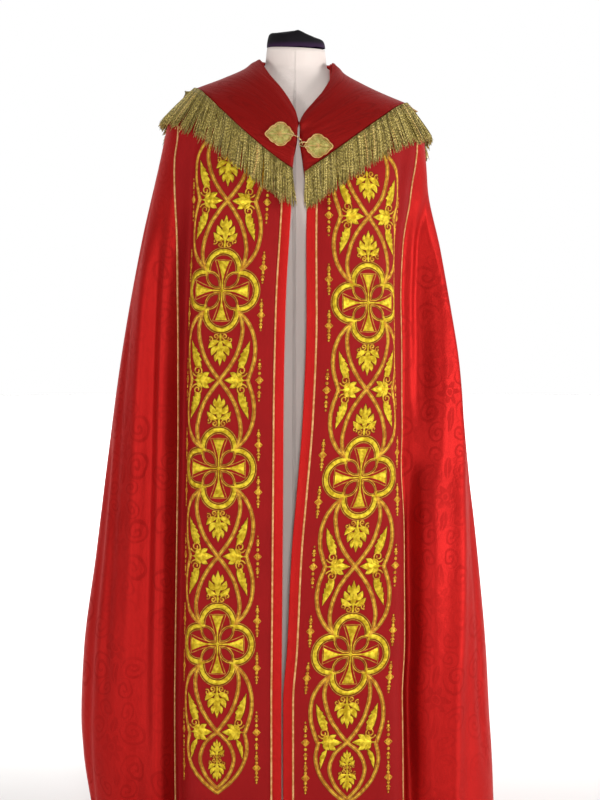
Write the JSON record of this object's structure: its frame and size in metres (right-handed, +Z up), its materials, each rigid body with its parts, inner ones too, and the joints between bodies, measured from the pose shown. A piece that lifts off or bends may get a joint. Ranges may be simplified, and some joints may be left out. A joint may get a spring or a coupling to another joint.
{
  "type": "cope vestment on dress form",
  "caption": "Full-length open-fronted church cope with embroidered front bands, fringed shoulder hood and leaf clasp, standing on a limbless display form.",
  "frame": {"origin": "on the floor under the middle of the display form", "axes": "+Z up, the cope opens towards -Y, +X to the viewer's right"},
  "size_m": [0.8403, 0.5615, 1.6146],
  "materials": {
    "red_damask": "satin-faced figured damask",
    "red_satin": "matt satin",
    "gold_braid": "metallic thread braid",
    "gold_thread": "metallic bullion thread",
    "form_jersey": "plain white jersey cover",
    "cap_black": "matt",
    "brass": "satin"
  },
  "bodies": {
    "root": {"display_form": "form_jersey", "neck_cap": "cap_black", "mantle_left_front": "red_damask", "mantle_right_front": "red_damask", "mantle_left_back": "red_damask", "mantle_right_back": "red_damask", "orphrey_left": "red_satin", "orphrey_right": "red_satin", "braid_left_inner": "gold_braid", "braid_left_outer": "gold_braid", "braid_right_inner": "gold_braid", "braid_right_outer": "gold_braid", "hood": "red_damask", "fringe": "gold_thread", "clasp_leaf_left": "gold_thread", "clasp_leaf_right": "gold_thread", "clasp_hook": "brass", "clasp_eye": "brass"}
  },
  "joints": []
}
